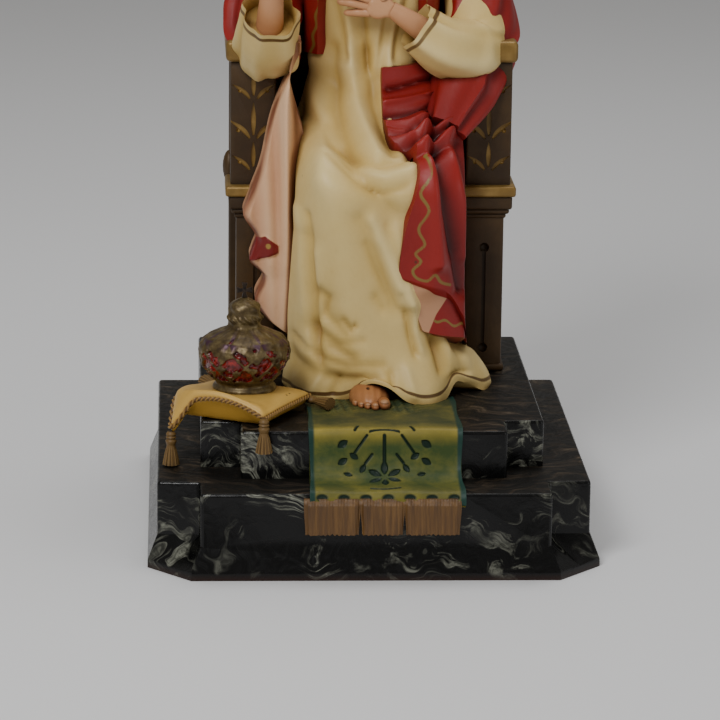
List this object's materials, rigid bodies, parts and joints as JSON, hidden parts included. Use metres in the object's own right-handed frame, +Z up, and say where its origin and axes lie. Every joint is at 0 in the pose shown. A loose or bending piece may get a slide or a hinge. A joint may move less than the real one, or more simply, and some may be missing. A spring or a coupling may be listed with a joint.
{
  "type": "enthroned sacred heart statue",
  "caption": "Painted plaster figure seated on a gilded throne above a stepped marbled base, with a crown on a tasselled cushion.",
  "frame": {"origin": "middle of the underside of the stepped base", "axes": "+Z up, -Y towards the viewer, +X to the viewer's right"},
  "size_m": [0.26, 0.266, 0.5445],
  "materials": {
    "marbled_plaster": "black gloss paint with grey and white brush marbling",
    "gilded_plaster": "matt bronze gold paint, lighter gold on the mouldings",
    "painted_plaster": "matt oil paint in cream, red and pink",
    "yellow_plaster": "satin yellow paint with gold cord",
    "gilt_enamel": "gold paint over glossy red",
    "dark_metal": "dark patina"
  },
  "bodies": {
    "root": {"stepped_base": "marbled_plaster", "throne": "gilded_plaster", "figure": "painted_plaster", "cushion": "yellow_plaster", "crown": "gilt_enamel", "crown_cross": "dark_metal"}
  },
  "joints": []
}
